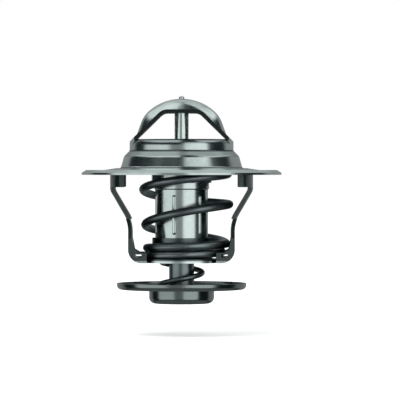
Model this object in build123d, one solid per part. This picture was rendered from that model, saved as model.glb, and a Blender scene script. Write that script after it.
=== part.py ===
from build123d import *
import math
import os

# Engine coolant thermostat with a bypass valve, 56 mm tall, in millimetres, +Z up.
# Z = 0 is the lower face of the flange. Every valve moves on the Z axis.
# The warm wax element pushes itself down off the fixed piston. It opens the main valve
# under the dome and carries the lower disc towards the bypass port. Springs bring both back.

# Upper pressing: flange, dome and bridge in one sheet
SHEET = 1.0
FLANGE_RADIUS = 27.0
FLANGE_THICK = 1.3
FLANGE_EDGE = 0.55
FLANGE_BEVEL = 1.2
FLANGE_DISH = 0.5
LAND_RADIUS = 21.0
LAND_STEP = 0.06
DOME_RADIUS = 15.55
DOME_LEAN = 0.9
DOME_FOOT_BEND = 0.6
SHOULDER_Z = 5.0
STEP_SETBACK = 1.51
STEP_BEND = 1.5
SILL_Z = 9.6
WINDOW_TOP_Z = 16.6
WINDOW_SILL_SETBACK = 2.14
WINDOW_TOP_HALF = 4.75
STRAP_WIDTH = 12.0
STRAP_BEND = 2.6
BRIDGE_Z = 20.5
ARCH_FOOT_SETBACK = 1.71
ARCH_FOOT_DROP = 10.3
ARCH_KNEE_SETBACK = 3.84
ARCH_KNEE_DROP = 4.5
ARCH_KNEE_RADIUS = 7.4
ARCH_TOP_HALF = 4.95
ARCH_TOP_RADIUS = 13.0
BEAD_WIDTH = 11.2
BEAD_ROUND = 4.2

# Lower stirrup with its guide collar
FRAME_SHEET = 1.0
FRAME_TOP_RADIUS = 19.3
FRAME_TOP_WIDTH = 20.8
FRAME_TOP_HEIGHT = 3.3
FRAME_TOP_BEND_Z = -4.3
FRAME_TOP_BEND = 1.4
EAR_RADIUS = 9.5
FRAME_LEG_RADIUS = 14.3
FRAME_LEG_BEND_Z = -12.9
FRAME_BOTTOM_Z = -23.7
FRAME_CORNER_BEND = 2.6
FRAME_LEG_BEND = 9.0
LEG_WIDTH = 11.0
LEG_CROWN_RADIUS = 38.0
RING_SETBACK = 3.3
CURB_WIDTH = 17.0
CURB_HEIGHT = 2.8
CURB_LENGTH = 5.0
GUSSET_INSET = 2.9
GUSSET_HEIGHT = 6.7
RELIEF_INSET = 1.6
RELIEF_WIDTH = 2.0
RELIEF_LOW = 1.55
RELIEF_HEIGHT = 0.8
GUIDE_TOP_Z = -17.0
GUIDE_WALL = 0.65

# Wax element
PISTON_RADIUS = 1.9
PISTON_TIP_RADIUS = 0.75
PISTON_TIP_RISE = 0.8
COLLAR_RADIUS = 8.1
COLLAR_HEIGHT = 3.6
NECK_RADIUS = 7.45
NECK_HEIGHT = 1.8
BODY_RADIUS = 7.15
CUP_HEIGHT = 21.9
CUP_WALL = 0.8
CUP_BASE = 1.6
LIP_RADIUS = 5.4
SLOT_COUNT = 6
SLOT_WIDTH = 1.2
SLOT_LENGTH = 10.7
SLOT_DROP = 6.8
SLOT_DEPTH = 0.5
SLOT_TURN = -16.0
GUIDE_FLANGE = 1.1
NOSE_RADIUS = 4.0
NOSE_HEIGHT = 6.6
WIPER_RADIUS = 2.9
WIPER_HEIGHT = 1.3
BACKUP_RADIUS = 3.6
BACKUP_THICK = 0.5
SLEEVE_RADIUS = 3.2
SLEEVE_LENGTH = 14.0
SLEEVE_END = 1.4

# Main valve
DISC_SHEET = 0.9
DISC_DEPTH = 3.0
DISC_HUB_RADIUS = 8.3
DISC_RIM_MARGIN = 0.6
DISC_RIM_GRIP = 0.8
SEAL_SIDE_GAP = 0.45
SEAL_TOP_SETBACK = 1.35
SEAL_LIP = 0.47
SEAL_DEPTH = 0.6
SEAL_GRIP = 1.25
LOCK_RADIUS = 5.6
LOCK_THICK = 0.8
LOCK_GROOVE = 0.5

# Bypass valve
BYPASS_Z = -31.0
BYPASS_RADIUS = 17.5
BYPASS_SHEET = 0.9
BYPASS_RIM_HEIGHT = 1.75
BYPASS_CUP_RADIUS = 8.8
BYPASS_CUP_DEPTH = 3.8
BYPASS_CUP_BEND = 0.8
BYPASS_RIM_BEND = 0.3
RECESS_RADIUS = 4.6
RECESS_DEPTH = 1.5
STEM_RADIUS = 3.4
STEM_SPIGOT_RADIUS = 1.8
STEM_SPIGOT_HEIGHT = 0.9
CLIP_RADIUS = 4.3
CLIP_THICK = 0.7
CLIP_GROOVE = 0.7
CLIP_MOUTH = 2.4
STEM_TAIL = 0.5

# Springs. Turns are given from the foot up: closed, open, closed. The flare says after which
# turn the coil widens or narrows, and over how many. The skew opens the lower turns more.
# The main spring stands off centre on its foot, bows out to +X and tilts with it.
MAIN_WIRE = 2.2
MAIN_LOW_SETBACK = 4.3
MAIN_TOP_SETBACK = 1.6
MAIN_TURNS = (1.58, 2.25, 1.0)
MAIN_FLARE_TURNS = (0.5, 2.1)
MAIN_SKEW_RATIO = 0.28
MAIN_START_ANGLE = -220.0
MAIN_FOOT_SHIFT = 0.5
MAIN_BOW = 1.1
MAIN_TILT_RATIO = 0.045
BYPASS_WIRE = 1.45
BYPASS_LOW_RADIUS = 6.35
BYPASS_TOP_RADIUS = 5.35
BYPASS_TURNS = (1.2, 1.4, 1.4)
BYPASS_FLARE_TURNS = (1.2, 1.0)
BYPASS_SKEW_RATIO = 0.2
BYPASS_START_ANGLE = 14.0
CLOSED_PITCH_RATIO = 1.03
GROUND_RATIO = 0.28
POINTS_PER_TURN = 12

# Clearances
SEAT_GAP = 0.12
RUN_GAP = 0.03
FIT_GAP = 0.05
GUIDE_GAP = 0.15
REST_GAP = 0.05
BOTTOM_GAP = 0.3

# Places that follow from the sizes above
FLANGE_TOP_Z = FLANGE_THICK + FLANGE_DISH
STEP_RADIUS = DOME_RADIUS - STEP_SETBACK
STEP_Z = SHOULDER_Z + STEP_SETBACK
WINDOW_SILL_HALF = STEP_RADIUS - WINDOW_SILL_SETBACK
SEAT_LINE = DOME_RADIUS + SHOULDER_Z - SHEET * math.sqrt(2)
SEAL_LINE = SEAT_LINE - SEAT_GAP * math.sqrt(2)
SEAL_TOP_RADIUS = DOME_RADIUS - SHEET - SEAL_TOP_SETBACK
SEAL_TOP_Z = SEAL_LINE - SEAL_TOP_RADIUS
SEAL_RADIUS = DOME_RADIUS - SHEET - SEAL_SIDE_GAP
RING_RADIUS = FRAME_LEG_RADIUS - RING_SETBACK
CURB_INNER = FRAME_LEG_RADIUS - CURB_LENGTH
MAIN_LOW_RADIUS = FRAME_LEG_RADIUS - MAIN_LOW_SETBACK
MAIN_TOP_RADIUS = SEAL_TOP_RADIUS - MAIN_TOP_SETBACK
DISC_RIM_INNER = MAIN_TOP_RADIUS - MAIN_WIRE / 2 - DISC_RIM_MARGIN
DISC_Z = SEAL_TOP_Z - SEAL_LIP - DISC_SHEET
LIP_Z = DISC_Z - DISC_DEPTH
COLLAR_Z = LIP_Z - COLLAR_HEIGHT
NECK_Z = COLLAR_Z - NECK_HEIGHT
BASE_Z = LIP_Z - CUP_HEIGHT
NOSE_Z = LIP_Z + NOSE_HEIGHT
COLLAR_BORE = COLLAR_RADIUS - CUP_WALL
NECK_BORE = NECK_RADIUS - CUP_WALL
BODY_BORE = BODY_RADIUS - CUP_WALL
CUP_MOUTH_Z = LIP_Z - CUP_WALL
SLEEVE_Z = COLLAR_Z + CUP_WALL
SLEEVE_BOTTOM_Z = SLEEVE_Z - SLEEVE_LENGTH
PISTON_BORE = PISTON_RADIUS + RUN_GAP
FRAME_SEAT_Z = FRAME_BOTTOM_Z + FRAME_SHEET
GUIDE_BORE = BODY_RADIUS + GUIDE_GAP
BYPASS_FOOT_Z = BYPASS_Z - BYPASS_CUP_DEPTH
BYPASS_SEAT_Z = BYPASS_FOOT_Z + BYPASS_SHEET
RECESS_Z = BYPASS_FOOT_Z + RECESS_DEPTH
CLIP_Z = RECESS_Z - REST_GAP - CLIP_THICK


def offset_points(points, distance):
    """Corners of the same open line, moved to the left of its run by distance."""
    vectors = [Vector(*point) for point in points]
    runs = [(after - before).normalized() for before, after in zip(vectors, vectors[1:])]
    lefts = [Vector(-run.Y, run.X) for run in runs]
    moved = [vectors[0] + lefts[0] * distance]
    for corner, first, second in zip(vectors[1:-1], lefts, lefts[1:]):
        moved.append(corner + (first + second) * (distance / (1 + first.dot(second))))
    moved.append(vectors[-1] + lefts[-1] * distance)
    return [(point.X, point.Y) for point in moved]


def turns_left(before, corner, after):
    """Whether an open line bends to its left at corner."""
    first = Vector(*corner) - Vector(*before)
    second = Vector(*after) - Vector(*corner)
    return first.cross(second).Z > 0


def bent_sheet(points, bends, thick):
    """Section of a bent sheet: one side runs along points, the other lies to its left."""
    left_turns = [turns_left(*trio) for trio in zip(points, points[1:], points[2:])]
    near_radii = [bend + thick if left else bend for bend, left in zip(bends, left_turns)]
    far_radii = [bend if left else bend + thick for bend, left in zip(bends, left_turns)]
    far_points = offset_points(points, thick)
    near = FilletPolyline(*points, radius=near_radii)
    far = FilletPolyline(*far_points, radius=far_radii)
    ends = [Line(points[0], far_points[0]), Line(points[-1], far_points[-1])]
    return make_face(near.edges() + far.edges() + ShapeList(end.edge() for end in ends))


def outline(points):
    """Flat face with straight sides."""
    return make_face(Polyline(*points, close=True).edges())


def turned(section):
    """Body of revolution about Z, from a section drawn as radius and height."""
    return revolve(Plane.XZ * section, Axis.Z)


def ring(inner, outer, low, high):
    """Flat ring about Z."""
    return turned(outline([(inner, low), (outer, low), (outer, high), (inner, high)]))


def across(section, width):
    """Section in X and Z, given width along Y and centred on it."""
    return extrude(Plane.XZ * section, amount=width / 2, both=True)


def arch_face(inset):
    """Side view of the bridge's raised bead, drawn in by inset, down to its feet."""
    half = [
        (STEP_RADIUS - ARCH_FOOT_SETBACK, BRIDGE_Z - ARCH_FOOT_DROP),
        (STEP_RADIUS - ARCH_KNEE_SETBACK, BRIDGE_Z - ARCH_KNEE_DROP),
        (ARCH_TOP_HALF, BRIDGE_Z),
    ]
    points = offset_points(half + [(-x, z) for x, z in reversed(half)], inset)
    knee = ARCH_KNEE_RADIUS - inset
    top = ARCH_TOP_RADIUS - inset
    arch = FilletPolyline(*points, radius=[knee, top, top, knee])
    return make_face(arch.edges() + [Line(points[-1], points[0]).edge()])


def strap_lines():
    """Rise of the strap's legs per unit of run, how far their sheet reaches out, and their foot."""
    slope = (WINDOW_TOP_Z - SILL_Z) / (WINDOW_SILL_HALF - WINDOW_TOP_HALF)
    reach = SHEET * math.sqrt(1 + 1 / slope ** 2)
    return slope, reach, SILL_Z - (STEP_RADIUS - WINDOW_SILL_HALF - reach) * slope


def strap_face(inset):
    """Side view of the flat strap below the bead: two slanted legs and a level top."""
    slope, reach, leg_z = strap_lines()
    half = [
        (STEP_RADIUS, STEP_Z + SHEET),
        (STEP_RADIUS, leg_z),
        (WINDOW_TOP_HALF + reach - SHEET / slope, WINDOW_TOP_Z + SHEET),
    ]
    face = outline(offset_points(half + [(-x, z) for x, z in reversed(half)], inset))
    return fillet(face.vertices().sort_by(Axis.Y)[-2:], STRAP_BEND + SHEET - inset)


def bridge_body(inset, strap_width):
    """Bridge as one filled body: the flat strap and the raised bead along it."""
    strap = across(strap_face(inset), strap_width)
    bead = across(arch_face(inset), BEAD_WIDTH - 2 * inset)
    foot_z = bead.bounding_box().min.Z
    crests = bead.edges().filter_by(
        lambda edge: abs(edge.tangent_at(0).Y) < 0.5 and edge.center().Z > foot_z + inset + 0.5)
    return strap + fillet(crests, BEAD_ROUND - inset)


def valve_housing():
    """One pressing: flange with a raised land below, stepped dome with the seat, and bridge."""
    slope, reach, leg_z = strap_lines()
    rise = WINDOW_TOP_Z - leg_z
    foot_radius = DOME_RADIUS + DOME_LEAN
    foot = foot_radius + 2 * DOME_FOOT_BEND
    wall = bent_sheet(
        [
            (foot, FLANGE_TOP_Z),
            (foot_radius, FLANGE_TOP_Z),
            (DOME_RADIUS, SHOULDER_Z),
            (STEP_RADIUS, STEP_Z),
            (STEP_RADIUS, leg_z),
            (STEP_RADIUS - rise / slope, leg_z + rise),
        ],
        [DOME_FOOT_BEND, 0.4, 0.5, STEP_BEND],
        SHEET,
    )
    overlap = SHEET / 5
    flange = outline([
        (foot - overlap, FLANGE_TOP_Z - SHEET),
        (foot + FLANGE_TOP_Z - SHEET - LAND_STEP, LAND_STEP),
        (LAND_RADIUS - LAND_STEP, LAND_STEP),
        (LAND_RADIUS, 0),
        (FLANGE_RADIUS, 0),
        (FLANGE_RADIUS, FLANGE_EDGE),
        (FLANGE_RADIUS - FLANGE_BEVEL, FLANGE_THICK),
        (LAND_RADIUS, FLANGE_THICK),
        (foot, FLANGE_TOP_Z),
        (foot - overlap, FLANGE_TOP_Z),
    ])
    dome = turned(wall) + turned(flange)
    dome -= Pos(0, 0, SILL_Z) * Cylinder(
        FLANGE_RADIUS, BRIDGE_Z, align=(Align.CENTER, Align.CENTER, Align.MIN))
    bridge = bridge_body(0, STRAP_WIDTH) - bridge_body(SHEET, 2 * STRAP_WIDTH)
    bridge &= Cylinder(STEP_RADIUS, 3 * BRIDGE_Z)
    tip_hole = Pos(0, 0, BRIDGE_Z) * Cylinder(PISTON_TIP_RADIUS + FIT_GAP, 4 * SHEET)
    return dome + bridge - tip_hole


def lower_frame():
    """Stirrup: two legs with T ends bent round the dome, a cross-piece with curbs, the collar."""
    top_z = LAND_STEP
    line = [
        (0, FRAME_BOTTOM_Z),
        (FRAME_LEG_RADIUS, FRAME_BOTTOM_Z),
        (FRAME_LEG_RADIUS, FRAME_LEG_BEND_Z),
        (FRAME_TOP_RADIUS, FRAME_TOP_BEND_Z),
        (FRAME_TOP_RADIUS, top_z),
    ]
    section = bent_sheet(line, [FRAME_CORNER_BEND, FRAME_LEG_BEND, FRAME_TOP_BEND], FRAME_SHEET)
    upper_half = LEG_WIDTH / 2
    join_z = FRAME_LEG_BEND_Z + FRAME_SHEET
    crown_x = FRAME_TOP_RADIUS - LEG_CROWN_RADIUS
    crowned = revolve(Plane.XZ * section, Axis((crown_x, 0, 0), (0, 0, 1)), revolution_arc=60)
    crowned = crowned.rotate(Axis((crown_x, 0, 0), (0, 0, 1)), -30)
    shank = crowned & Pos(FRAME_TOP_RADIUS, 0, (join_z + top_z) / 2) * Box(
        2 * FRAME_LEG_RADIUS, LEG_WIDTH, top_z - join_z)

    start = math.asin(upper_half / LEG_CROWN_RADIUS)
    ear_x = crown_x + (LEG_CROWN_RADIUS - EAR_RADIUS) * math.cos(start)
    ear_y = (LEG_CROWN_RADIUS - EAR_RADIUS) * math.sin(start)
    ear_width = FRAME_TOP_WIDTH / 2 - upper_half
    ear = Pos(ear_x, ear_y, 0) * ring(EAR_RADIUS - FRAME_SHEET, EAR_RADIUS, -FRAME_TOP_HEIGHT, top_z)
    ear &= Pos(ear_x + EAR_RADIUS, upper_half + ear_width / 2 - RUN_GAP / 2, 0) * Box(
        2 * EAR_RADIUS, ear_width + RUN_GAP, 4 * FRAME_TOP_HEIGHT)
    ears = ear + mirror(ear, Plane.XZ)

    curb_half = CURB_WIDTH / 2
    gusset_top = FRAME_BOTTOM_Z + GUSSET_HEIGHT
    strip = outline([
        (-curb_half, FRAME_BOTTOM_Z - 1), (curb_half, FRAME_BOTTOM_Z - 1), (curb_half, gusset_top),
        (upper_half, join_z), (-upper_half, join_z), (-curb_half, gusset_top),
    ])
    leg = across(section, CURB_WIDTH) & extrude(Plane.YZ * strip, amount=2 * FRAME_TOP_RADIUS)
    leg -= Box(2 * CURB_INNER, 2 * CURB_WIDTH, -4 * FRAME_BOTTOM_Z)

    curb_top = FRAME_BOTTOM_Z + CURB_HEIGHT
    inner_leg = FRAME_LEG_RADIUS - FRAME_SHEET
    side = outline([
        (CURB_INNER, FRAME_BOTTOM_Z), (FRAME_LEG_RADIUS, FRAME_BOTTOM_Z), (FRAME_LEG_RADIUS, gusset_top),
        (inner_leg, gusset_top), (inner_leg - 0.6, curb_top + 0.8),
        (FRAME_LEG_RADIUS - GUSSET_INSET, curb_top), (CURB_INNER, curb_top),
    ])
    corner = side.vertices().sort_by(lambda vertex: vertex.X - vertex.Y)[-1]
    side = fillet(corner, FRAME_CORNER_BEND + FRAME_SHEET)
    flanges = across(side, CURB_WIDTH) - across(side, CURB_WIDTH - 2 * FRAME_SHEET)
    relief_x = FRAME_LEG_RADIUS - RELIEF_INSET - RELIEF_WIDTH / 2
    flanges -= Pos(relief_x, 0, FRAME_BOTTOM_Z + RELIEF_LOW + RELIEF_HEIGHT / 2) * Box(
        RELIEF_WIDTH, 2 * CURB_WIDTH, RELIEF_HEIGHT)
    side_leg = shank + ears + leg + flanges
    legs = side_leg + mirror(side_leg, Plane.YZ)

    plate = ring(GUIDE_BORE + 0.2, RING_RADIUS, FRAME_BOTTOM_Z, FRAME_SEAT_Z)
    collar_out = GUIDE_BORE + GUIDE_WALL
    collar = turned(outline([
        (GUIDE_BORE, FRAME_BOTTOM_Z + 0.5), (GUIDE_BORE + 0.5, FRAME_BOTTOM_Z),
        (collar_out + 0.6, FRAME_BOTTOM_Z), (collar_out + 0.6, FRAME_SEAT_Z),
        (collar_out, FRAME_SEAT_Z + 0.6), (collar_out, GUIDE_TOP_Z),
        (GUIDE_BORE, GUIDE_TOP_Z),
    ]))
    hole = Cylinder(GUIDE_BORE + GUIDE_WALL, -4 * FRAME_BOTTOM_Z)
    return (legs + plate - hole) + collar


def coil(seats, wire, radii, turns, flare, skew, start, shifts, tilt):
    """Right-handed spring between two seats, its ends closed and ground flat on them."""
    low, high = seats
    close = wire * CLOSED_PITCH_RATIO
    sunk = wire * (0.5 - GROUND_RATIO)
    open_from = low + sunk + turns[0] * close
    open_to = high - sunk - turns[2] * close
    total = sum(turns)
    count = round(total * POINTS_PER_TURN)
    points = []
    for step in range(count + 1):
        turn = total * step / count
        share = min(max((turn - turns[0]) / turns[1], 0), 1)
        opened = share + skew / math.pi * math.sin(math.pi * share)
        closed = min(turn - turns[0], 0) + max(turn - turns[0] - turns[1], 0)
        height = open_from + closed * close + (open_to - open_from) * opened
        widened = min(max((turn - flare[0]) / flare[1], 0), 1)
        radius = radii[0] + (radii[1] - radii[0]) * widened
        angle = math.radians(start + 360 * turn)
        lean = shifts[0] * (1 - step / count) + shifts[1] * math.sin(math.pi * step / count)
        height += 4 * share * (1 - share) * tilt * radius * math.cos(angle)
        points.append((lean + radius * math.cos(angle), radius * math.sin(angle), height))
    path = Spline(*points)
    wire_section = Plane(origin=path @ 0, z_dir=path % 0) * Circle(wire / 2)
    wound = sweep(wire_section, path=path)
    return wound & Pos(0, 0, low) * Cylinder(
        3 * max(radii), high - low, align=(Align.CENTER, Align.CENTER, Align.MIN))


def main_spring():
    """Return spring between the stirrup's ring and the main valve."""
    return coil(
        (FRAME_SEAT_Z + RUN_GAP, DISC_Z - RUN_GAP), MAIN_WIRE, (MAIN_LOW_RADIUS, MAIN_TOP_RADIUS),
        MAIN_TURNS, MAIN_FLARE_TURNS, MAIN_SKEW_RATIO, MAIN_START_ANGLE, (MAIN_FOOT_SHIFT, MAIN_BOW),
        MAIN_TILT_RATIO)


def bypass_spring():
    """Spring that holds the lower disc down on its clip, from the cup's base."""
    return coil(
        (BYPASS_SEAT_Z + RUN_GAP, BASE_Z - RUN_GAP), BYPASS_WIRE, (BYPASS_LOW_RADIUS, BYPASS_TOP_RADIUS),
        BYPASS_TURNS, BYPASS_FLARE_TURNS, BYPASS_SKEW_RATIO, BYPASS_START_ANGLE, (0, 0), 0)


def piston():
    """Polished pin that stands still: its thin tip is staked in the bridge."""
    crown = BRIDGE_Z - SHEET - PISTON_RADIUS ** 2 / (2 * (ARCH_TOP_RADIUS - SHEET)) - 0.01
    bottom = SLEEVE_BOTTOM_Z + SLEEVE_END + BOTTOM_GAP
    pin = turned(outline([
        (0, bottom), (PISTON_RADIUS - 0.4, bottom), (PISTON_RADIUS, bottom + 0.4), (PISTON_RADIUS, crown),
        (PISTON_TIP_RADIUS, crown), (PISTON_TIP_RADIUS, BRIDGE_Z + PISTON_TIP_RISE),
        (0, BRIDGE_Z + PISTON_TIP_RISE),
    ]))
    return fillet(pin.edges().sort_by(Axis.Z)[-1], PISTON_TIP_RADIUS * 0.8)


def element_cup():
    """Drawn cup of the wax element, its collar rolled over the guide and its body slotted."""
    cup = turned(outline([
        (LIP_RADIUS, LIP_Z), (LIP_RADIUS, CUP_MOUTH_Z), (COLLAR_BORE, CUP_MOUTH_Z),
        (COLLAR_BORE, SLEEVE_Z), (NECK_BORE, SLEEVE_Z), (NECK_BORE, NECK_Z + 0.4),
        (BODY_BORE, NECK_Z), (BODY_BORE, BASE_Z + CUP_BASE), (0, BASE_Z + CUP_BASE),
        (0, BASE_Z + STEM_SPIGOT_HEIGHT), (STEM_SPIGOT_RADIUS, BASE_Z + STEM_SPIGOT_HEIGHT),
        (STEM_SPIGOT_RADIUS, BASE_Z), (BODY_RADIUS - 0.6, BASE_Z), (BODY_RADIUS, BASE_Z + 0.6),
        (BODY_RADIUS, NECK_Z), (NECK_RADIUS, NECK_Z + 0.3), (NECK_RADIUS, COLLAR_Z),
        (COLLAR_RADIUS - 0.15, COLLAR_Z), (COLLAR_RADIUS, COLLAR_Z + 0.15),
        (COLLAR_RADIUS, LIP_Z - 0.6), (COLLAR_RADIUS - 0.6, LIP_Z),
    ]))
    slot_half = SLOT_WIDTH / 2
    straight = SLOT_LENGTH - SLOT_WIDTH
    groove = Cylinder(slot_half, straight)
    for end in (-straight / 2, straight / 2):
        groove += Pos(0, 0, end) * Sphere(slot_half)
    cutter = Pos(0, SLOT_DEPTH - slot_half - BODY_RADIUS, LIP_Z - SLOT_DROP - SLOT_LENGTH / 2) * groove
    for turn in range(SLOT_COUNT):
        cup -= Rot(0, 0, SLOT_TURN + turn * 360 / SLOT_COUNT) * cutter
    return cup


def guide_bush():
    """Turned brass bush that closes the cup and guides the piston."""
    low = CUP_MOUTH_Z - GUIDE_FLANGE
    lock = LIP_Z + DISC_SHEET
    return turned(outline([
        (BACKUP_RADIUS, low), (COLLAR_BORE, low), (COLLAR_BORE, CUP_MOUTH_Z), (NOSE_RADIUS, CUP_MOUTH_Z),
        (NOSE_RADIUS, lock), (NOSE_RADIUS - LOCK_GROOVE, lock),
        (NOSE_RADIUS - LOCK_GROOVE, lock + LOCK_THICK), (NOSE_RADIUS, lock + LOCK_THICK),
        (NOSE_RADIUS, NOSE_Z - 0.5), (NOSE_RADIUS - 0.5, NOSE_Z), (WIPER_RADIUS, NOSE_Z),
        (WIPER_RADIUS, NOSE_Z - WIPER_HEIGHT), (PISTON_BORE, NOSE_Z - WIPER_HEIGHT),
        (PISTON_BORE, low + BACKUP_THICK), (BACKUP_RADIUS, low + BACKUP_THICK),
    ]))


def rubber_sleeve():
    """Rubber boot round the piston; its flange is clamped under the guide and seals the wax in."""
    top = CUP_MOUTH_Z - GUIDE_FLANGE
    bore_end = SLEEVE_BOTTOM_Z + SLEEVE_END
    return turned(outline([
        (PISTON_BORE, top), (COLLAR_BORE, top), (COLLAR_BORE, SLEEVE_Z), (SLEEVE_RADIUS, SLEEVE_Z),
        (SLEEVE_RADIUS, SLEEVE_BOTTOM_Z), (0, SLEEVE_BOTTOM_Z), (0, bore_end), (PISTON_BORE, bore_end),
    ]))


def wax_charge():
    """Wax that fills the cup round the sleeve."""
    return turned(outline([
        (SLEEVE_RADIUS, SLEEVE_Z), (NECK_BORE, SLEEVE_Z), (NECK_BORE, NECK_Z + 0.4), (BODY_BORE, NECK_Z),
        (BODY_BORE, BASE_Z + CUP_BASE), (0, BASE_Z + CUP_BASE), (0, SLEEVE_BOTTOM_Z),
        (SLEEVE_RADIUS, SLEEVE_BOTTOM_Z),
    ]))


def main_valve_disc():
    """Dished steel disc: flat hub on the cup's lip, cone, and a flat rim for spring and seal."""
    top = DISC_Z + DISC_SHEET
    hub = LIP_Z + DISC_SHEET
    rim = SEAL_TOP_RADIUS - SEAL_LIP + DISC_RIM_GRIP
    section = bent_sheet(
        [(rim, top), (DISC_RIM_INNER, top), (DISC_HUB_RADIUS, hub), (NOSE_RADIUS + FIT_GAP, hub)],
        [0.3, 0.3],
        DISC_SHEET,
    )
    return turned(section)


def valve_seal():
    """Rubber ring moulded round the disc's rim; its bevel meets the seat in the dome."""
    inner = SEAL_TOP_RADIUS - SEAL_LIP
    rim = inner + DISC_RIM_GRIP
    top = DISC_Z + DISC_SHEET
    low = DISC_Z - SEAL_DEPTH
    return turned(outline([
        (inner, top), (inner, SEAL_TOP_Z), (SEAL_TOP_RADIUS, SEAL_TOP_Z),
        (SEAL_RADIUS, SEAL_LINE - SEAL_RADIUS), (SEAL_RADIUS, low), (SEAL_RADIUS - SEAL_GRIP + 0.2, low),
        (SEAL_RADIUS - SEAL_GRIP + 0.2, DISC_Z), (rim, DISC_Z), (rim, top),
    ]))


def locking_ring():
    """Ring snapped in the guide's groove, which holds the disc down on the cup."""
    low = LIP_Z + DISC_SHEET
    body = ring(NOSE_RADIUS - LOCK_GROOVE, LOCK_RADIUS, low, low + LOCK_THICK)
    mouth = Pos(0, LOCK_RADIUS, low) * Box(CLIP_MOUTH / 2, 2 * LOCK_RADIUS, 4 * LOCK_THICK)
    return body - mouth


def stem():
    """Turned stem pressed into the cup's base, on which the lower disc slides."""
    return turned(outline([
        (0, BASE_Z + STEM_SPIGOT_HEIGHT), (STEM_SPIGOT_RADIUS, BASE_Z + STEM_SPIGOT_HEIGHT),
        (STEM_SPIGOT_RADIUS, BASE_Z), (STEM_RADIUS, BASE_Z), (STEM_RADIUS, CLIP_Z + CLIP_THICK),
        (STEM_RADIUS - CLIP_GROOVE, CLIP_Z + CLIP_THICK), (STEM_RADIUS - CLIP_GROOVE, CLIP_Z),
        (STEM_RADIUS, CLIP_Z), (STEM_RADIUS, CLIP_Z - STEM_TAIL + 0.2),
        (STEM_RADIUS - 0.2, CLIP_Z - STEM_TAIL), (0, CLIP_Z - STEM_TAIL),
    ]))


def bypass_disc():
    """Drawn pan: turned-up rim, deep cup for the spring, and a raised floor round the stem."""
    section = bent_sheet(
        [
            (STEM_RADIUS + FIT_GAP, RECESS_Z),
            (RECESS_RADIUS, RECESS_Z),
            (RECESS_RADIUS, BYPASS_FOOT_Z),
            (BYPASS_CUP_RADIUS, BYPASS_FOOT_Z),
            (BYPASS_CUP_RADIUS, BYPASS_Z),
            (BYPASS_RADIUS, BYPASS_Z),
            (BYPASS_RADIUS, BYPASS_Z + BYPASS_RIM_HEIGHT),
        ],
        [0.2, 0.2, BYPASS_CUP_BEND, BYPASS_RIM_BEND, BYPASS_RIM_BEND],
        BYPASS_SHEET,
    )
    return turned(section)


def stem_clip():
    """Open spring clip in the stem's groove, under the lower disc."""
    body = ring(STEM_RADIUS - CLIP_GROOVE, CLIP_RADIUS, CLIP_Z, CLIP_Z + CLIP_THICK)
    mouth = Pos(0, CLIP_RADIUS, CLIP_Z) * Box(CLIP_MOUTH, 2 * CLIP_RADIUS, 4 * CLIP_THICK)
    return body - mouth


def backup_washer():
    """Hard washer in the guide's mouth that keeps the rubber out of the bore."""
    low = CUP_MOUTH_Z - GUIDE_FLANGE
    return ring(PISTON_BORE, BACKUP_RADIUS, low, low + BACKUP_THICK)


def piston_wiper():
    """Small rubber ring in the guide's nose that keeps dirt off the bore."""
    return ring(PISTON_BORE, WIPER_RADIUS, NOSE_Z - WIPER_HEIGHT, NOSE_Z - 0.1)


os.makedirs("parts", exist_ok=True)
for make in (
    valve_housing, lower_frame, piston, main_spring, main_valve_disc, valve_seal, locking_ring,
    guide_bush, piston_wiper, backup_washer, element_cup, rubber_sleeve, wax_charge, stem,
    bypass_spring, bypass_disc, stem_clip,
):
    shape = make()
    print(make.__name__, len(shape.solids()), round(shape.volume, 2))
    export_step(shape, f"parts/{make.__name__}.step")
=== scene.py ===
import math

import bpy
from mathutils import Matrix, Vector


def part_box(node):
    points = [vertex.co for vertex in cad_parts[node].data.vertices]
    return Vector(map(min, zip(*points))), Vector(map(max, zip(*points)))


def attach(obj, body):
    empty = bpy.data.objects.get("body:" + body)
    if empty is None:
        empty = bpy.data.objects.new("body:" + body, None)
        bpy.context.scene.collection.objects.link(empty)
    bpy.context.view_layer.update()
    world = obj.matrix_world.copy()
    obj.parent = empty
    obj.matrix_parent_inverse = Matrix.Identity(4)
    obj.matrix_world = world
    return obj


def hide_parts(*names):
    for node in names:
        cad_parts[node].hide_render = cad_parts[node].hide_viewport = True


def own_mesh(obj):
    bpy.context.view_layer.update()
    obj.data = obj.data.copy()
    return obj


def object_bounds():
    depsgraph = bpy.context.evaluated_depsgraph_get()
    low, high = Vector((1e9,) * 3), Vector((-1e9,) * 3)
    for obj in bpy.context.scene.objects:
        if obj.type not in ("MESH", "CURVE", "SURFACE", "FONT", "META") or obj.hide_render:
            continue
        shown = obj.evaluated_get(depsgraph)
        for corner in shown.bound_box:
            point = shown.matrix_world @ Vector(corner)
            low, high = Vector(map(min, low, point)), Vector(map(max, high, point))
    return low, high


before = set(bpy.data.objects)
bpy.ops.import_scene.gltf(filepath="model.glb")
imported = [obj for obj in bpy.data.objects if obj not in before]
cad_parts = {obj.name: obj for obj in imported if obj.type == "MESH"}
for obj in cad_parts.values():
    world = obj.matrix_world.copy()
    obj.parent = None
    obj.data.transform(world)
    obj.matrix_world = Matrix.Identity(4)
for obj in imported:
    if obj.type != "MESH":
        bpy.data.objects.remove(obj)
cad_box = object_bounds()
scene = bpy.context.scene
scene.view_settings.view_transform = "Standard"


# The view: a long lens just under a metre away, level with the flange, so that the flange is
# seen edge on and the lower disc a little from above. In a picture 400 pixels square the axis
# stands in column AXIS_PIXEL, and the flange's lower face, where z is 0, in row DATUM_PIXEL.
PICTURE = 400
PIXELS_PER_METRE = 3700
AXIS_PIXEL = 181.6
DATUM_PIXEL = 174.8
EYE_DISTANCE = 0.89
EYE_HEIGHT = 0.0015
SENSOR_WIDTH = 36

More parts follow.
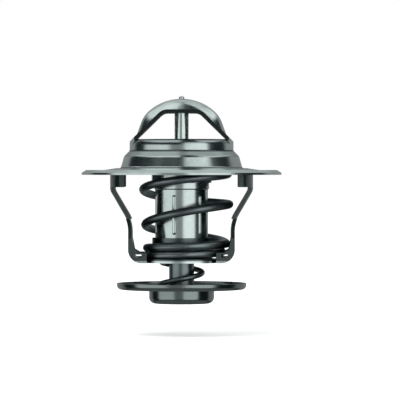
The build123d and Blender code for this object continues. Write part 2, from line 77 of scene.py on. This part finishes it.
aim = Vector((
    (PICTURE / 2 - AXIS_PIXEL) / PIXELS_PER_METRE,
    0,
    (DATUM_PIXEL - PICTURE / 2) / PIXELS_PER_METRE,
))
eye = Vector((aim.x, -EYE_DISTANCE, EYE_HEIGHT))
camera = bpy.data.objects.new("camera", bpy.data.cameras.new("camera"))
scene.collection.objects.link(camera)
camera.location = eye
camera.rotation_euler = (aim - eye).to_track_quat("-Z", "Y").to_euler()
camera.data.sensor_width = SENSOR_WIDTH
camera.data.lens = SENSOR_WIDTH * PIXELS_PER_METRE * EYE_DISTANCE / PICTURE
scene.camera = camera


# The studio, which the steel mirrors: bright screens left and right of the eye with a dim gap
# between them, strips and a ceiling of panels above, dim screens behind, and a faint light from
# below. To the eye itself the background is pure white.
SCREENS = (
    # azimuth from and to, elevation from and to, in degrees, and how bright it is; azimuth 0
    # is the eye's side, the right is positive, and what adds up to over 1 counts as 1
    (-88, -26, -24, 9, 0.86),
    (-26, 8, -24, 9, 0.26),
    (8, 60, -24, 36, 1.38),
    (-135, -42, 35, 50, 0.95),
    (66, 135, 34, 50, 0.95),
    (-180, -125, -24, 24, 0.3),
    (112, 180, -24, 24, 0.3),
    (-180, -125, 24, 46, 0.46),
    (125, 180, 24, 46, 0.46),
    (-85, -4, 40, 90, 1.3),
    (48, 85, 40, 90, 0.9),
    (-150, -85, 50, 90, 0.85),
    (85, 150, 50, 90, 0.7),
    (-190, -150, 46, 80, 0.62),
    (150, 190, 46, 80, 0.62),
    (-190, 190, -95, -32, 0.16),
)
AZIMUTH_SOFT = 5
ELEVATION_SOFT = 6
GLOOM = (0.012, 0.018, 0.02)
SCREEN_TINT = (0.97, 1.0, 0.99)
WHITE = (1, 1, 1, 1)
RADIAN = math.degrees(1)


class Shade:
    """An output of a shader's nodes. Sums written with it add Math nodes."""

    def __init__(self, tree, socket=None):
        self.tree = tree
        self.socket = socket

    def node(self, kind, settings=None, sockets=None, output=0):
        """A new node: its settings first, then the values or links of its inputs."""
        made = self.tree.nodes.new(kind)
        for name, value in (settings or {}).items():
            setattr(made, name, value)
        for name, value in (sockets or {}).items():
            if isinstance(value, Shade):
                self.tree.links.new(value.socket, made.inputs[name])
            else:
                made.inputs[name].default_value = value
        return Shade(self.tree, made.outputs[output] if made.outputs else None)

    def maths(self, operation, first, second=0.0):
        return self.node("ShaderNodeMath", {"operation": operation}, {0: first, 1: second})

    def __add__(self, other):
        return self.maths("ADD", self, other)

    def __radd__(self, other):
        return self.maths("ADD", other, self)

    def __sub__(self, other):
        return self.maths("SUBTRACT", self, other)

    def __rsub__(self, other):
        return self.maths("SUBTRACT", other, self)

    def __mul__(self, other):
        return self.maths("MULTIPLY", self, other)

    def __rmul__(self, other):
        return self.maths("MULTIPLY", other, self)

    def rise(self, start, end, top=1.0):
        """0 up to start, top from end on, and a smooth rise between them."""
        return self.node("ShaderNodeMapRange", {"interpolation_type": "SMOOTHSTEP"},
                         {"Value": self, "From Min": start, "From Max": end, "To Max": top})

    def between(self, low, high, soft):
        """1 from low to high and 0 elsewhere, with edges that reach soft to both sides."""
        return self.rise(low - soft, low + soft) * (1 - self.rise(high - soft, high + soft))

    def parts(self):
        """The x, y and z of a vector."""
        split = self.node("ShaderNodeSeparateXYZ", sockets={"Vector": self})
        return [Shade(self.tree, output) for output in split.socket.node.outputs]

    def noise(self, place, scale, detail, rough):
        return self.node("ShaderNodeTexNoise", sockets={
            "Vector": place, "Scale": scale, "Detail": detail, "Roughness": rough})

    def blend(self, share, first, second):
        """The first colour where share is 0 and the second where it is 1."""
        first, second = (colour if isinstance(colour, Shade) else (*colour, 1)
                         for colour in (first, second))
        # A Mix node has sockets for each kind of value. These are the ones for colours.
        first_input, second_input, result = 6, 7, 2
        return self.node("ShaderNodeMix", {"data_type": "RGBA"},
                         {0: share, first_input: first, second_input: second}, output=result)

    def choose(self, share, first, second):
        """The first shader where share is 0 and the second where it is 1."""
        return self.node("ShaderNodeMixShader", sockets={0: share, 1: first, 2: second})

    def seen_by_eye(self):
        return self.node("ShaderNodeLightPath", output="Is Camera Ray")


def cleared(owner):
    """Empties the nodes of a world or a material, for a shader of its own."""
    owner.use_nodes = True
    owner.node_tree.nodes.clear()
    return Shade(owner.node_tree)


world = bpy.data.worlds.new("studio")
scene.world = world
sky = cleared(world)
side, depth, height = sky.node("ShaderNodeTexCoord", output="Generated").parts()
azimuth = sky.maths("ARCTAN2", side, 0 - depth) * RADIAN
elevation = sky.maths("ARCSINE", height) * RADIAN
light = 0.0
for left, right, low, high, level in SCREENS:
    across = azimuth.between(left, right, AZIMUTH_SOFT)
    light = light + across * elevation.between(low, high, ELEVATION_SOFT) * level
tinted = sky.blend(light, GLOOM, SCREEN_TINT)
room = sky.node("ShaderNodeBackground", sockets={"Color": tinted, "Strength": 1.0})
white = sky.node("ShaderNodeBackground", sockets={"Color": WHITE, "Strength": 1.0})
backdrop = sky.choose(sky.seen_by_eye(), room, white)
sky.node("ShaderNodeOutputWorld", sockets={"Surface": backdrop})


# The floor: pale paper, which lies low enough for the open valve to stay above it. Only its
# upper side shows, so that a view from below isn't blocked, and to the eye it glows towards
# white. A round soft lamp hangs above it, in front and to the left.
FLOOR_HALF = 6.0
OPEN_DROP = 0.0085
PAPER = (0.86, 0.87, 0.87, 1)
PAPER_GLOW = 0.62
LAMP_SIZE = 0.5
LAMP_POWER = 3.0
LAMP_PLACE = Vector((-0.15, -0.2, 0.6))

floor_z = cad_box[0][2] - OPEN_DROP
floor_mesh = bpy.data.meshes.new("floor")
floor_mesh.from_pydata(
    [(x, y, floor_z) for x, y in (
        (-FLOOR_HALF, -FLOOR_HALF), (FLOOR_HALF, -FLOOR_HALF),
        (FLOOR_HALF, FLOOR_HALF), (-FLOOR_HALF, FLOOR_HALF))],
    [], [(0, 1, 2, 3)])
floor = bpy.data.objects.new("floor", floor_mesh)
scene.collection.objects.link(floor)
floor.visible_glossy = False
paper = bpy.data.materials.new("paper")
sheet = cleared(paper)
plain = sheet.node("ShaderNodeBsdfDiffuse", sockets={"Color": PAPER})
glow = sheet.node("ShaderNodeEmission", sockets={"Color": WHITE, "Strength": PAPER_GLOW})
lit = sheet.node("ShaderNodeAddShader", sockets={0: plain, 1: glow})
upper_side = sheet.choose(sheet.seen_by_eye(), plain, lit)
lower_side = sheet.node("ShaderNodeBsdfTransparent")
from_below = sheet.node("ShaderNodeNewGeometry", output="Backfacing")
one_sided = sheet.choose(from_below, upper_side, lower_side)
sheet.node("ShaderNodeOutputMaterial", sockets={"Surface": one_sided})
floor_mesh.materials.append(paper)

lamp = bpy.data.objects.new("ceiling_lamp", bpy.data.lights.new("ceiling_lamp", "AREA"))
scene.collection.objects.link(lamp)
lamp.data.shape = "DISK"
lamp.data.size = LAMP_SIZE
lamp.data.energy = LAMP_POWER
lamp.location = LAMP_PLACE
lamp.rotation_euler = (-LAMP_PLACE).to_track_quat("-Z", "Y").to_euler()
lamp.visible_glossy = False


# Flange, dome and bridge: one pressing of cold-rolled steel sheet, drawn bright on its curves.
# The windows are sheared out of it. Painted shade darkens the cut edges of the bridge and sill,
# the bend under the sill, the ledge between the two steps, and the corners at the steps and foot.
SHEET_COLOUR = (0.66, 0.745, 0.73)
SHEET_WORN = (0.5, 0.58, 0.575)
SHEET_ROUGH = 0.2
SHEET_GRAIN = 900.0
# Painted shade: near black on the cut edges of the bridge and above the sill
EDGE_PAINTED_SHADE = (0.05, 0.06, 0.062)
# Painted shade, lighter: on the bend under the sill and on the ledge between the two steps
PAINTED_HALF_SHADE = (0.36, 0.42, 0.41)
# Painted shade in the corner between the two steps and at the dome's foot
CORNER_PAINTED_SHADE = (0.11, 0.13, 0.132)
# How far from the middle plane the bridge's cut edges begin, and heights over the flange's face
BRIDGE_HALF_WIDTH = 0.00594
BRIDGE_TOP = 0.03
SILL_EDGE = 0.00915
SILL_BEND = 0.0084
CORNER_TOP = 0.0067
CORNER_FOOT = 0.00615
LEDGE_FOOT = 0.0049
DOME_FOOT_TOP = 0.0021
DOME_FOOT = 0.00168
# How bare metal wears: the grain moves by TURNING_STEP for each radian round the axis
NOISE_MEAN = 0.5
TURNING_STEP = 0.0004
STAIN_SCALE = 170.0
STAIN_START = 0.42
STAIN_END = 0.7
STAIN_WEAR = 0.55
STAIN_DULLS = 0.16
SPECK_SCALE = 1900.0
SPECK_WEAR = 0.25
SPECK_DULLS = 0.06
SPECK_RELIEF = 0.5
GRAIN_RELIEF = 0.7
METAL_BUMP = 0.22
METAL_BUMP_DEPTH = 0.00004
BAND_SOFT = 0.00012


def steel(name, colour, worn, rough, grain, turned, streak=0.08, painted_bands=()):
    """Bare metal: stains, specks and a fine grain, which runs round the axis if it was turned.
    Each band paints light or shade: its colour, beyond a distance from the middle plane and
    between two heights."""
    material = bpy.data.materials.new(name)
    metal = cleared(material)
    place = metal.node("ShaderNodeTexCoord", output="Object")
    x, y, z = place.parts()
    grain_place = place
    if turned:
        radius = metal.maths("SQRT", x * x + y * y)
        around = metal.maths("ARCTAN2", y, x) * TURNING_STEP
        grain_place = metal.node("ShaderNodeCombineXYZ", sockets={
            "X": radius, "Y": z, "Z": around})
    lines = metal.noise(grain_place, grain, detail=5.0, rough=0.65)
    stains = metal.noise(place, STAIN_SCALE, detail=6.0, rough=0.6)
    specks = metal.noise(place, SPECK_SCALE, detail=3.0, rough=0.7)
    wear = stains.rise(STAIN_START, STAIN_END, STAIN_WEAR) + specks * SPECK_WEAR
    tint = metal.blend(wear, colour, worn)
    # Each band lays painted shade or a painted highlight over the metal's colour
    for across, low, high, painted_tone in painted_bands:
        beyond = metal.maths("GREATER_THAN", metal.maths("ABSOLUTE", y), across)
        tint = metal.blend(beyond * z.between(low, high, BAND_SOFT), tint, painted_tone)
    dull = rough + (stains - NOISE_MEAN) * STAIN_DULLS + (lines - NOISE_MEAN) * streak
    dull = dull + (specks - NOISE_MEAN) * SPECK_DULLS
    relief = metal.node("ShaderNodeBump", sockets={
        "Height": lines * GRAIN_RELIEF + specks * SPECK_RELIEF,
        "Strength": METAL_BUMP, "Distance": METAL_BUMP_DEPTH})
    surface = metal.node("ShaderNodeBsdfPrincipled", sockets={
        "Base Color": tint, "Metallic": 1.0, "Roughness": dull, "Normal": relief})
    metal.node("ShaderNodeOutputMaterial", sockets={"Surface": surface})
    return material


def dress(node, material):
    """Gives a solid of the frame its finish."""
    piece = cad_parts[node]
    piece.data.materials.clear()
    piece.data.materials.append(material)


dome_steel = steel("dome_steel", SHEET_COLOUR, SHEET_WORN, SHEET_ROUGH, SHEET_GRAIN, turned=True,
                   painted_bands=((BRIDGE_HALF_WIDTH, SILL_EDGE, BRIDGE_TOP, EDGE_PAINTED_SHADE),
                          (BRIDGE_HALF_WIDTH, SILL_BEND, SILL_EDGE, PAINTED_HALF_SHADE),
                          (0.0, CORNER_FOOT, CORNER_TOP, CORNER_PAINTED_SHADE),
                          (0.0, LEDGE_FOOT, CORNER_FOOT, PAINTED_HALF_SHADE),
                          (0.0, DOME_FOOT, DOME_FOOT_TOP, CORNER_PAINTED_SHADE)))
dress("valve_housing", dome_steel)


# Piston: a hardened pin, centreless ground and polished. Its thin tip is held in the hole at the
# top of the bridge, so it stands still while the element slides down on it.
POLISHED = (0.74, 0.82, 0.81)
POLISHED_WORN = (0.62, 0.7, 0.7)
pin_steel = steel("polished_pin", POLISHED, POLISHED_WORN, rough=0.12, grain=1500.0,
                  turned=True, streak=0.03)
dress("piston", pin_steel)


# Wax element: a deep-drawn steel cup with a satin skin, which holds the wax. A turned brass
# guide closes it and leads the piston.
SATIN = (0.72, 0.81, 0.79)
SATIN_WORN = (0.58, 0.67, 0.65)
BRASS = (0.72, 0.6, 0.34)
BRASS_WORN = (0.5, 0.4, 0.22)
cup_steel = steel("satin_cup", SATIN, SATIN_WORN, rough=0.21, grain=700.0, turned=True)
dress("element_cup", cup_steel)
brass = steel("turned_brass", BRASS, BRASS_WORN, rough=0.25, grain=1100.0, turned=True)
dress("guide_bush", brass)


# Main valve: a dished disc of the same bright sheet. A split ring of dark spring steel, which
# snaps into the guide's groove, holds it on the element.
CRING_EDGE = (0.2, 0.235, 0.245)
CLIP_WORN = (0.12, 0.145, 0.155)
disc_steel = steel("disc_steel", SHEET_COLOUR, SHEET_WORN, SHEET_ROUGH, SHEET_GRAIN, turned=True)
dress("main_valve_disc", disc_steel)
clip_steel = steel("dark_spring_steel", CRING_EDGE, CLIP_WORN, rough=0.3, grain=1200.0,
                   turned=False)
dress("locking_ring", clip_steel)


# Moulded pieces: the rubber seal on the valve's rim, the rubber sleeve and wiper round the
# piston, the hard plastic washer between them, and the cast wax.
RUBBER = (0.035, 0.037, 0.04)
HARD_PLASTIC = (0.8, 0.79, 0.75)
WAX = (0.7, 0.56, 0.36)
PIT_SCALE = 2600.0
PIT_DULLS = 0.15
PIT_BUMP = 0.3
PIT_BUMP_DEPTH = 0.00005
PIT_SHADES = (0.8, 1.25)


def moulded(name, colour, rough):
    """A moulded rubber or plastic skin with a fine pitted surface."""
    material = bpy.data.materials.new(name)
    skin = cleared(material)
    place = skin.node("ShaderNodeTexCoord", output="Object")
    pits = skin.noise(place, PIT_SCALE, detail=4.0, rough=0.7)
    darker, lighter = ([min(level * shade, 1) for level in colour] for shade in PIT_SHADES)
    relief = skin.node("ShaderNodeBump", sockets={
        "Height": pits, "Strength": PIT_BUMP, "Distance": PIT_BUMP_DEPTH})
    surface = skin.node("ShaderNodeBsdfPrincipled", sockets={
        "Base Color": skin.blend(pits, darker, lighter),
        "Roughness": rough + pits * PIT_DULLS, "Normal": relief})
    skin.node("ShaderNodeOutputMaterial", sockets={"Surface": surface})
    return material


black_rubber = moulded("black_rubber", RUBBER, rough=0.55)
for node in ("valve_seal", "rubber_sleeve", "piston_wiper"):
    dress(node, black_rubber)
dress("backup_washer", moulded("white_plastic", HARD_PLASTIC, rough=0.4))
dress("wax_charge", moulded("wax", WAX, rough=0.5))


# Stirrup: a second pressing, hung under the flange by its curved T ends, its sheet painted darker
# than the dome's as painted shade. Its ring carries the main spring, and a painted highlight
# brightens the ring's lower edge in front and behind.
# Painted shade: the stirrup's colours are much darker than the dome's sheet
STIRRUP_PAINTED_SHADE = (0.155, 0.185, 0.187)
STIRRUP_PAINTED_SHADE_WORN = (0.09, 0.11, 0.112)
STIRRUP_ROUGH = 0.28
# A painted highlight on the ring's lower edge, in front and behind
RING_EDGE_HIGHLIGHT = (0.8, 0.9, 0.89)
RING_EDGE_ACROSS = 0.0074
RING_EDGE_FOOT = -0.024
RING_EDGE_TOP = -0.0231
stirrup_painted_shade = steel("stirrup_painted_shade", STIRRUP_PAINTED_SHADE, STIRRUP_PAINTED_SHADE_WORN, STIRRUP_ROUGH, SHEET_GRAIN,
                   turned=False,
                   painted_bands=((RING_EDGE_ACROSS, RING_EDGE_FOOT, RING_EDGE_TOP, RING_EDGE_HIGHLIGHT),))
dress("lower_frame", stirrup_painted_shade)


# Stem and lower disc: a dark turned bar pressed into the cup's base, and a pressed disc of darker
# tone that slides on it. An open clip in a groove near the stem's tail keeps the disc on.
BAR = (0.26, 0.305, 0.305)
BAR_WORN = (0.33, 0.4, 0.4)
PAN = (0.28, 0.325, 0.32)
PAN_WORN = (0.27, 0.31, 0.31)
bar_steel = steel("turned_bar", BAR, BAR_WORN, rough=0.33, grain=800.0, turned=True)
dress("stem", bar_steel)
dress("stem_clip", clip_steel)
pan_steel = steel("pan_steel", PAN, PAN_WORN, SHEET_ROUGH, SHEET_GRAIN, turned=True)
dress("bypass_disc", pan_steel)


# Springs: hard-drawn wire, wound right-handed with closed ends ground flat on their seats. The
# main one stands in the stirrup and the small one hangs under the element. In the valve they
# shorten as it opens and as the lower disc is pushed up; here each rides rigidly with its body.
WIRE_COLOUR = (0.29, 0.335, 0.345)
WIRE_WORN = (0.17, 0.205, 0.215)
# In wire widths: how far a closed turn rises, and how high the wire's middle starts on its seat
CLOSED_PITCH = 1.03
SEATED = 0.22
STEPS_PER_TURN = 36
WIRE_SIDES = 20

MAIN_WIRE = 0.0022
MAIN_FOOT = -0.0227
MAIN_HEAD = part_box("main_spring")[1][2]
BYPASS_WIRE = 0.00145
BYPASS_HEAD = -0.0205
BYPASS_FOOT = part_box("bypass_spring")[0][2]


def coil(name, seats, wire, radii, turns, flare, skew, start, shifts=(0, 0), tilts=(0, 0, 0)):
    """A coil between two seats, of closed turns, open turns and closed turns again. Its radius
    goes from the first to the second over flare, given as the turn where that begins and the
    turns that it takes. skew opens the lower turns more than the upper, start is the angle of
    the wire's lower end, shifts move the foot and the middle to the right, and tilts raise the
    open turns at the right, at the back and all round, as shares of the radius."""
    low, high = seats
    close = wire * CLOSED_PITCH
    sunk = wire * SEATED
    open_from = low + sunk + turns[0] * close
    open_to = high - sunk - turns[2] * close
    total = sum(turns)
    count = round(total * STEPS_PER_TURN)
    line = []
    for step in range(count + 1):
        turn = total * step / count
        share = min(max((turn - turns[0]) / turns[1], 0), 1)
        opened = share + skew / math.pi * math.sin(math.pi * share)
        closed = min(turn - turns[0], 0) + max(turn - turns[0] - turns[1], 0)
        widened = min(max((turn - flare[0]) / flare[1], 0), 1)
        radius = radii[0] + (radii[1] - radii[0]) * widened
        angle = math.radians(start + 360 * turn)
        lean = shifts[0] * (1 - step / count) + shifts[1] * math.sin(math.pi * step / count)
        tilted = tilts[0] * math.cos(angle) + tilts[1] * math.sin(angle) + tilts[2]
        tilted *= 4 * share * (1 - share) * radius
        line.append(Vector((
            lean + radius * math.cos(angle), radius * math.sin(angle),
            open_from + closed * close + (open_to - open_from) * opened + tilted,
        )))
    points = []
    for step, place in enumerate(line):
        along = (line[min(step + 1, count)] - line[max(step - 1, 0)]).normalized()
        out = along.cross(Vector((0, 0, 1))).normalized()
        up = out.cross(along)
        for corner in range(WIRE_SIDES):
            angle = 2 * math.pi * corner / WIRE_SIDES
            point = place + (out * math.cos(angle) + up * math.sin(angle)) * wire / 2
            point.z = min(max(point.z, low), high)
            points.append(point)
    faces = []
    for step in range(count):
        first, second = step * WIRE_SIDES, (step + 1) * WIRE_SIDES
        for corner in range(WIRE_SIDES):
            after = (corner + 1) % WIRE_SIDES
            faces.append((first + corner, first + after, second + after, second + corner))
    faces.append(tuple(range(WIRE_SIDES))[::-1])
    faces.append(tuple(count * WIRE_SIDES + corner for corner in range(WIRE_SIDES)))
    mesh = bpy.data.meshes.new(name)
    mesh.from_pydata(points, [], faces)
    mesh.polygons.foreach_set("use_smooth", [len(face.vertices) == 4 for face in mesh.polygons])
    piece = bpy.data.objects.new(name, mesh)
    scene.collection.objects.link(piece)
    return piece


spring_steel = steel("spring_wire", WIRE_COLOUR, WIRE_WORN, rough=0.38, grain=1300.0,
                     turned=False)
main_coil = coil("main_coil", (MAIN_FOOT, MAIN_HEAD), MAIN_WIRE, radii=(0.01, 0.0116),
                 turns=(1.63, 2.11, 1.19), flare=(0.5, 2.1), skew=0.18, start=-220,
                 shifts=(0.0005, 0.0011), tilts=(0.026, -0.09, -0.002))
main_coil.data.materials.append(spring_steel)
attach(main_coil, "housing")
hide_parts("main_spring")
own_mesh(main_coil)

bypass_coil = coil("bypass_coil", (BYPASS_FOOT, BYPASS_HEAD), BYPASS_WIRE,
                   radii=(0.00635, 0.00535), turns=(1.2, 1.4, 1.4), flare=(1.2, 1.0),
                   skew=0.2, start=14)
bypass_coil.data.materials.append(spring_steel)
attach(bypass_coil, "element")
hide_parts("bypass_spring")
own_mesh(bypass_coil)
